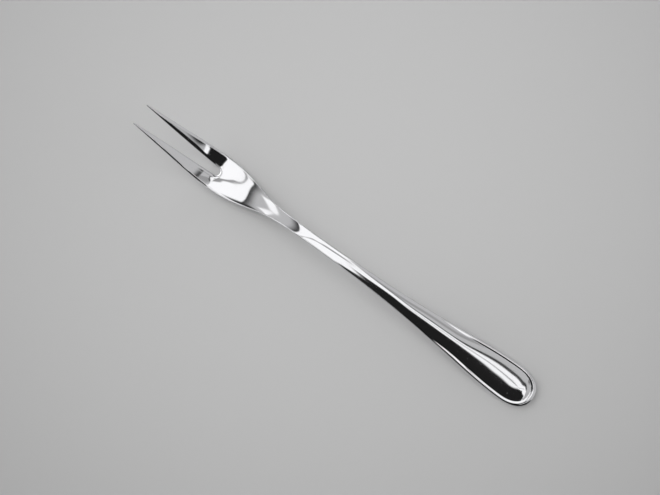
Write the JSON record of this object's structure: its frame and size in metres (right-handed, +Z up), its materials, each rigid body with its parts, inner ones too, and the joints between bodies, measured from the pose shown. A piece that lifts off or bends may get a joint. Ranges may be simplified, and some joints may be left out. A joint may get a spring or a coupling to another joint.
{
  "type": "meat fork",
  "caption": "Slender meat fork of mirror-polished steel with long pointed tines, a shallow bowl, an arched narrow shank and a flared, round-ended handle with a raised border.",
  "frame": {"origin": "on the table plane, under the middle of the fork's length and width, as the fork lies face up", "axes": "+X along the length towards the handle end, so the tine tips are at -X; +Y across the width; +Z up, out of the face"},
  "size_m": [0.195, 0.0164, 0.017],
  "materials": {
    "polished_steel": "polished"
  },
  "bodies": {
    "root": {"fork": "polished_steel"}
  },
  "joints": []
}
